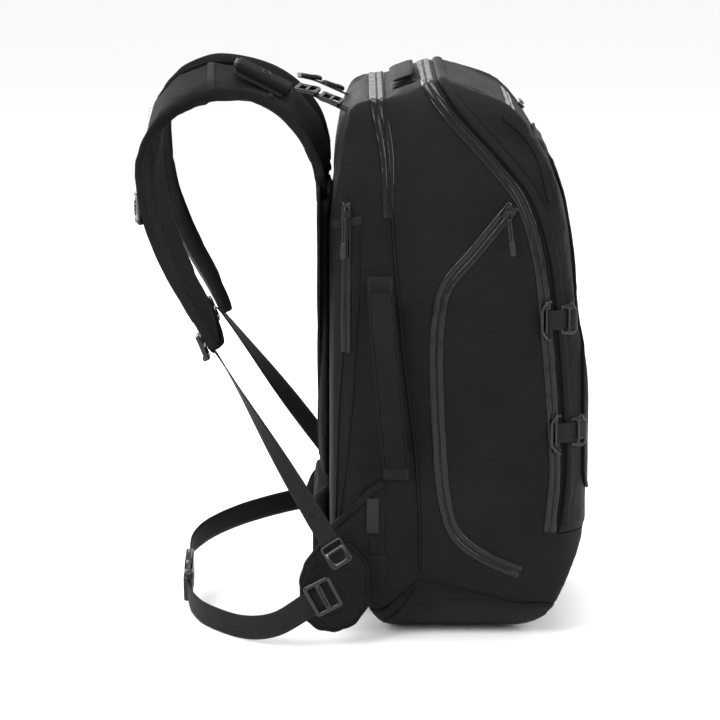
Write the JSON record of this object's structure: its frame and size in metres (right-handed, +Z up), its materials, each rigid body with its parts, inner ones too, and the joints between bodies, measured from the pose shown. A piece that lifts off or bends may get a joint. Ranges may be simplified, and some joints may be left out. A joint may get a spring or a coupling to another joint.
{
  "type": "avalanche airbag backpack",
  "caption": "Clamshell technical backpack with padded harness, hip belt, lockable-style zips, grab handles and a stowed airbag system.",
  "frame": {"origin": "middle of the flat base, on the surface the pack stands on", "axes": "+Z up, +X away from the wearer towards the front panel, -Y the wearer's left"},
  "size_m": [0.4642, 0.4216, 0.5865],
  "materials": {
    "ripstop_fabric": "fine ripstop weave, coated",
    "panel_fabric": "plain weave, coated",
    "strap_fabric": "padded, matt",
    "webbing": "woven webbing",
    "zip_tape": "coated, slightly shiny",
    "label": "plain blank tag",
    "hardware": "moulded acetal",
    "zip_metal": "black painted",
    "pull_cord": "moulded pull",
    "hdpe_sheet": "natural sheet",
    "aluminium": "anodised",
    "foam": "knitted mesh over closed-cell foam",
    "valve_plastic": "moulded",
    "airbag_nylon": "folded coated nylon",
    "cable_sheath": "cable sheath"
  },
  "bodies": {
    "pack": {"airbag": "airbag_nylon", "back_compartment": "ripstop_fabric", "back_pad": "foam", "bottom_panel": "panel_fabric", "canister_strap": "webbing", "compression_frames": "hardware", "frame_sheet": "hdpe_sheet", "frame_stays": "aluminium", "gas_canister": "aluminium", "handle_tabs": "webbing", "harness_cover": "strap_fabric", "harness_zip_tape": "zip_tape", "inflator_valve": "valve_plastic", "label_tag": "label", "load_lifter_buckles": "hardware", "load_lifter_webbing": "webbing", "lower_webbing": "webbing", "lumbar_pad": "strap_fabric", "main_compartment": "panel_fabric", "main_zip_tape": "zip_tape", "shoulder_strap_left": "strap_fabric", "shoulder_strap_right": "strap_fabric", "side_pockets": "ripstop_fabric", "side_zip_tape": "zip_tape", "sternum_rails": "webbing", "strap_ladder_locks": "hardware", "top_zip_tape": "zip_tape", "trigger_cable": "cable_sheath", "trigger_sleeve": "strap_fabric", "webbing_hooks": "hardware"},
    "front": {"front_panel": "panel_fabric", "front_pocket": "panel_fabric", "front_pocket_zip_tape": "zip_tape", "compression_straps": "webbing", "compression_buckles": "hardware"},
    "front_zip": {"front_pocket_slider": "pull_cord"},
    "side_zip": {"side_zip_slider": "zip_metal"},
    "side_pull": {"side_zip_pull": "pull_cord"},
    "top_zip": {"top_zip_slider": "zip_metal"},
    "top_pull": {"top_zip_pull": "pull_cord"},
    "main_zip": {"main_zip_slider": "zip_metal"},
    "main_pull": {"main_zip_pull": "pull_cord"},
    "harness_zip": {"harness_zip_slider": "zip_metal"},
    "harness_pull": {"harness_zip_pull": "pull_cord"},
    "top_grab": {"top_handle": "webbing"},
    "side_grab": {"side_handle": "webbing"},
    "sternum": {"sternum_sliders": "hardware", "sternum_webbing": "webbing", "sternum_buckle_female": "hardware"},
    "sternum_male": {"sternum_buckle_male": "hardware"},
    "hip_belt": {"hip_wing_left": "strap_fabric", "hip_wing_right": "strap_fabric", "hip_webbing": "webbing", "hip_ladder_locks": "hardware", "hip_buckle_female": "hardware"},
    "hip_male": {"hip_buckle_male": "hardware"},
    "trigger": {"trigger_handle": "hardware"}
  },
  "joints": [
    {"name": "front_panel_open", "type": "hinge", "parent": "pack", "child": "front", "pos_m": [0.13924, 0, 0.1123], "axis": [0, 1, 0], "range_deg": [0, 90]},
    {"name": "front_pocket_zip_slide", "type": "slide", "parent": "front", "child": "front_zip", "axis": [0, 1, 0], "range_m": [0, 0.1]},
    {"name": "side_zip_slide", "type": "slide", "parent": "pack", "child": "side_zip", "axis": [-0.6351, 0, -0.7724], "range_m": [0, 0.075]},
    {"name": "side_pull_swing", "type": "hinge", "parent": "side_zip", "child": "side_pull", "pos_m": [0.05628, -0.167, 0.44205], "axis": [0, -1, 0], "range_deg": [-60, 60]},
    {"name": "top_zip_slide", "type": "slide", "parent": "pack", "child": "top_zip", "axis": [-0.0797, -0.2813, 0.9563], "range_m": [0, 0.03]},
    {"name": "top_pull_swing", "type": "hinge", "parent": "top_zip", "child": "top_pull", "pos_m": [-0.063, 0.15885, 0.498], "axis": [0, 0.9594, 0.2822], "range_deg": [-50, 50]},
    {"name": "main_zip_slide", "type": "slide", "parent": "pack", "child": "main_zip", "axis": [-0.0817, 0, 0.9967], "range_m": [0, 0.02]},
    {"name": "main_pull_swing", "type": "hinge", "parent": "main_zip", "child": "main_pull", "pos_m": [0.104, 0.167, 0.2765], "axis": [0, 1, 0], "range_deg": [-50, 50]},
    {"name": "harness_zip_slide", "type": "slide", "parent": "pack", "child": "harness_zip", "axis": [0, 0, -1], "range_m": [0, 0.06]},
    {"name": "harness_pull_swing", "type": "hinge", "parent": "harness_zip", "child": "harness_pull", "pos_m": [-0.104, -0.16608, 0.443], "axis": [-0.3489, -0.9371, 0], "range_deg": [-20, 20]},
    {"name": "top_handle_swing", "type": "hinge", "parent": "pack", "child": "top_grab", "pos_m": [-0.0475, 0, 0.56518], "axis": [0, 1, 0], "range_deg": [-15, 15]},
    {"name": "side_handle_swing", "type": "hinge", "parent": "pack", "child": "side_grab", "pos_m": [-0.062, -0.176, 0.274], "axis": [-0.0885, 0, 0.9961], "range_deg": [-20, 20]},
    {"name": "sternum_height", "type": "slide", "parent": "pack", "child": "sternum", "axis": [-0.15, 0, 0.9887], "range_m": [0, 0.03]},
    {"name": "sternum_buckle_release", "type": "slide", "parent": "sternum", "child": "sternum_male", "axis": [0, 1, 0], "range_m": [0, 0.012]},
    {"name": "hip_belt_lift", "type": "hinge", "parent": "pack", "child": "hip_belt", "pos_m": [-0.112, 0, 0.085], "axis": [0, 1, 0], "range_deg": [0, 30]},
    {"name": "hip_buckle_release", "type": "slide", "parent": "hip_belt", "child": "hip_male", "axis": [0, 0.9511, 0.309], "range_m": [0, 0.017]},
    {"name": "trigger_pull", "type": "slide", "parent": "pack", "child": "trigger", "axis": [-0.8904, 0, 0.4551], "range_m": [0, 0.03]}
  ]
}
